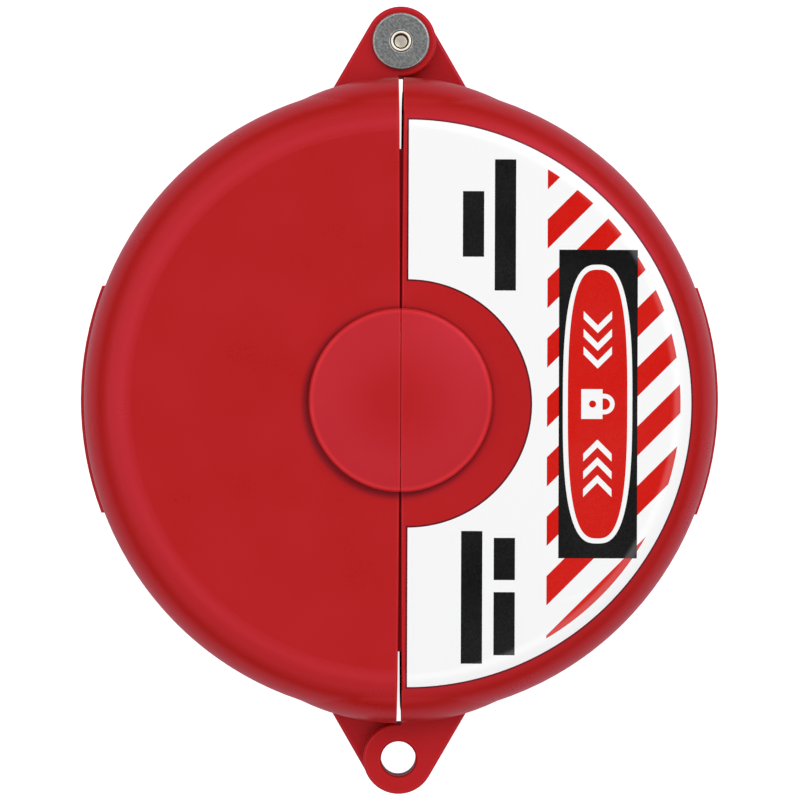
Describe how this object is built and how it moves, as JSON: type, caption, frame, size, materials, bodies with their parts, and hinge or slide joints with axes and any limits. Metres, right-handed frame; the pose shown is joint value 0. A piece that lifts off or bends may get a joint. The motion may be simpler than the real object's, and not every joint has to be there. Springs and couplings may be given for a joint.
{
  "type": "gate valve lockout",
  "caption": "Two hinged half-drum plastic shells that close round a valve handwheel and take a padlock, with lift-off centre plugs.",
  "frame": {"origin": "on the drum's axis at the plane of its back face, which is the centre of the stem opening's mouth", "axes": "+Z out of the front face along the drum's axis and the hinge pin, +Y from the drum's axis to the hinge pin, +X to the labelled right shell"},
  "size_m": [0.1826, 0.2256, 0.062],
  "materials": {
    "red_plastic": "fine moulded texture, satin",
    "label_vinyl": "printed vinyl, satin",
    "pin_steel": "bright plated",
    "washer_steel": "fine ground"
  },
  "bodies": {
    "left_half": {"left_shell": "red_plastic"},
    "right_half": {"right_shell": "red_plastic", "hazard_label": "label_vinyl"},
    "left_plug": {"left_stem_plug": "red_plastic"},
    "right_plug": {"right_stem_plug": "red_plastic"},
    "hinge_pin": {"hinge_rivet": "pin_steel", "hinge_bushing": "pin_steel", "front_washer": "washer_steel", "rear_washer": "washer_steel"}
  },
  "joints": [
    {"name": "shell_hinge", "type": "hinge", "parent": "left_half", "child": "right_half", "pos_m": [0, 0.10275, 0.028], "axis": [0, 0, 1], "range_deg": [0, 230]},
    {"name": "pin_spin", "type": "hinge", "parent": "left_half", "child": "hinge_pin", "pos_m": [0, 0.10275, 0.028], "axis": [0, 0, 1], "continuous": true},
    {"name": "left_plug_pull", "type": "slide", "parent": "left_half", "child": "left_plug", "axis": [0, 0, 1], "range_m": [0, 0.02]},
    {"name": "right_plug_pull", "type": "slide", "parent": "right_half", "child": "right_plug", "axis": [0, 0, 1], "range_m": [0, 0.02]}
  ]
}
